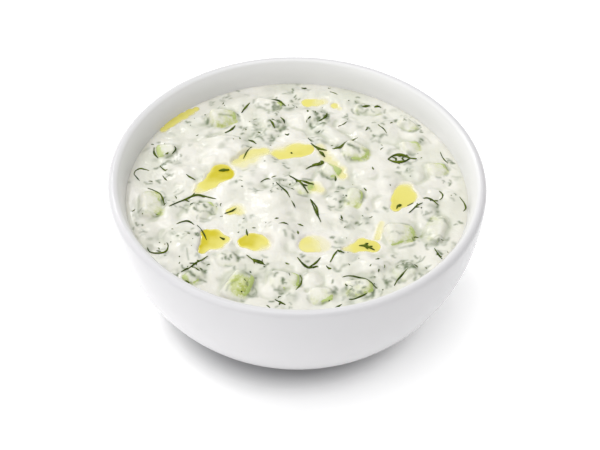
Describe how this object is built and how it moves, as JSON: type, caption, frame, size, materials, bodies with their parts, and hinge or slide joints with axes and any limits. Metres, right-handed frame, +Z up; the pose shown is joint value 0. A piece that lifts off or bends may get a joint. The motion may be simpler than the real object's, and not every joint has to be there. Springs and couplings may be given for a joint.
{
  "type": "tzatziki dip in a bowl",
  "caption": "Round white glazed bowl filled with tzatziki: a thick yoghurt dip whose uneven top is set with diced cucumber. It stands on a low foot ring.",
  "frame": {"origin": "on the ground, on the bowl's axis, at the middle of the foot ring's underside", "axes": "+Z up along the bowl's axis; the side shown in front faces -Y, and +X is to its right"},
  "size_m": [0.14, 0.14, 0.062],
  "materials": {
    "glaze": "gloss",
    "yoghurt": "satin",
    "cucumber": "satin"
  },
  "bodies": {
    "root": {"bowl": "glaze", "tzatziki": "yoghurt", "cucumber_01": "cucumber", "cucumber_02": "cucumber", "cucumber_03": "cucumber", "cucumber_04": "cucumber", "cucumber_05": "cucumber", "cucumber_06": "cucumber", "cucumber_07": "cucumber", "cucumber_08": "cucumber", "cucumber_09": "cucumber", "cucumber_10": "cucumber", "cucumber_11": "cucumber", "cucumber_12": "cucumber", "cucumber_13": "cucumber", "cucumber_14": "cucumber", "cucumber_15": "cucumber", "cucumber_16": "cucumber", "cucumber_17": "cucumber", "cucumber_18": "cucumber", "cucumber_19": "cucumber", "cucumber_20": "cucumber", "cucumber_21": "cucumber", "cucumber_22": "cucumber", "cucumber_23": "cucumber", "cucumber_24": "cucumber"}
  },
  "joints": []
}
